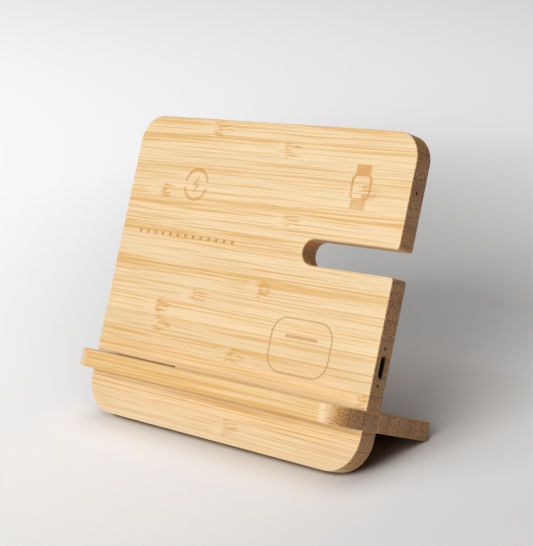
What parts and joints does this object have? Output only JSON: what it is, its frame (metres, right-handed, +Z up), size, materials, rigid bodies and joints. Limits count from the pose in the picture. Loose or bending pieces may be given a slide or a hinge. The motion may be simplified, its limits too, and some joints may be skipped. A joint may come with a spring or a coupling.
{
  "type": "charging station organizer",
  "caption": "Leaning bamboo charging stand of two cross-lapped boards, with charging coils, a strap notch, a shelf and a USB-C inlet.",
  "frame": {"origin": "centre of the whole stand's bounding box, on the ground it stands on", "axes": "+X along the boards to the right as seen from the front, +Y to the rear, where the foot is, +Z up"},
  "size_m": [0.165, 0.0794, 0.1265],
  "materials": {
    "bamboo_main": "sanded, thin matte lacquer",
    "bamboo_support": "sanded, thin matte lacquer",
    "bamboo_cover": "sanded, thin matte lacquer",
    "screw_steel": "zinc plated",
    "copper_winding": "enamelled wire",
    "adhesive_tape": "matte",
    "ferrite": "matte",
    "magnet_plating": "nickel plated",
    "foam": "open foam",
    "circuit_board": "solder mask",
    "chip_body": "moulded",
    "inductor_body": "moulded",
    "capacitor_body": "glazed",
    "inlet_steel": "drawn",
    "inlet_plastic": "moulded",
    "contact_gold": "plated",
    "lamp_body": "moulded",
    "clear_rod": "clear acrylic",
    "wire_insulation": "extruded",
    "flat_cable": "laminated"
  },
  "bodies": {
    "stand": {"main_board": "bamboo_main", "back_cover": "bamboo_cover", "cover_screws": "screw_steel", "phone_coil": "copper_winding", "phone_coil_pad": "adhesive_tape", "phone_coil_shield": "ferrite", "earbud_coil": "copper_winding", "earbud_coil_pad": "adhesive_tape", "earbud_coil_shield": "ferrite", "watch_coil": "copper_winding", "watch_coil_pad": "adhesive_tape", "watch_coil_shield": "ferrite", "watch_magnet": "magnet_plating", "coil_foam_pads": "foam", "driver_board": "circuit_board", "driver_board_screws": "screw_steel", "driver_chips": "chip_body", "power_inductors": "inductor_body", "resonance_capacitors": "capacitor_body", "control_chip": "chip_body", "inlet_board": "circuit_board", "inlet_board_screws": "screw_steel", "inlet_shell": "inlet_steel", "inlet_tongue": "inlet_plastic", "inlet_contacts": "contact_gold", "indicator_lamps": "lamp_body", "light_rods": "clear_rod", "lamp_board": "circuit_board", "lamp_wires": "wire_insulation", "phone_coil_leads": "copper_winding", "watch_coil_leads": "copper_winding", "earbud_coil_leads": "copper_winding", "flat_cable": "flat_cable"},
    "support": {"support_board": "bamboo_support"}
  },
  "joints": [
    {"name": "support_slide", "type": "slide", "parent": "stand", "child": "support", "axis": [-1, 0, 0], "range_m": [0, 0.165]}
  ]
}
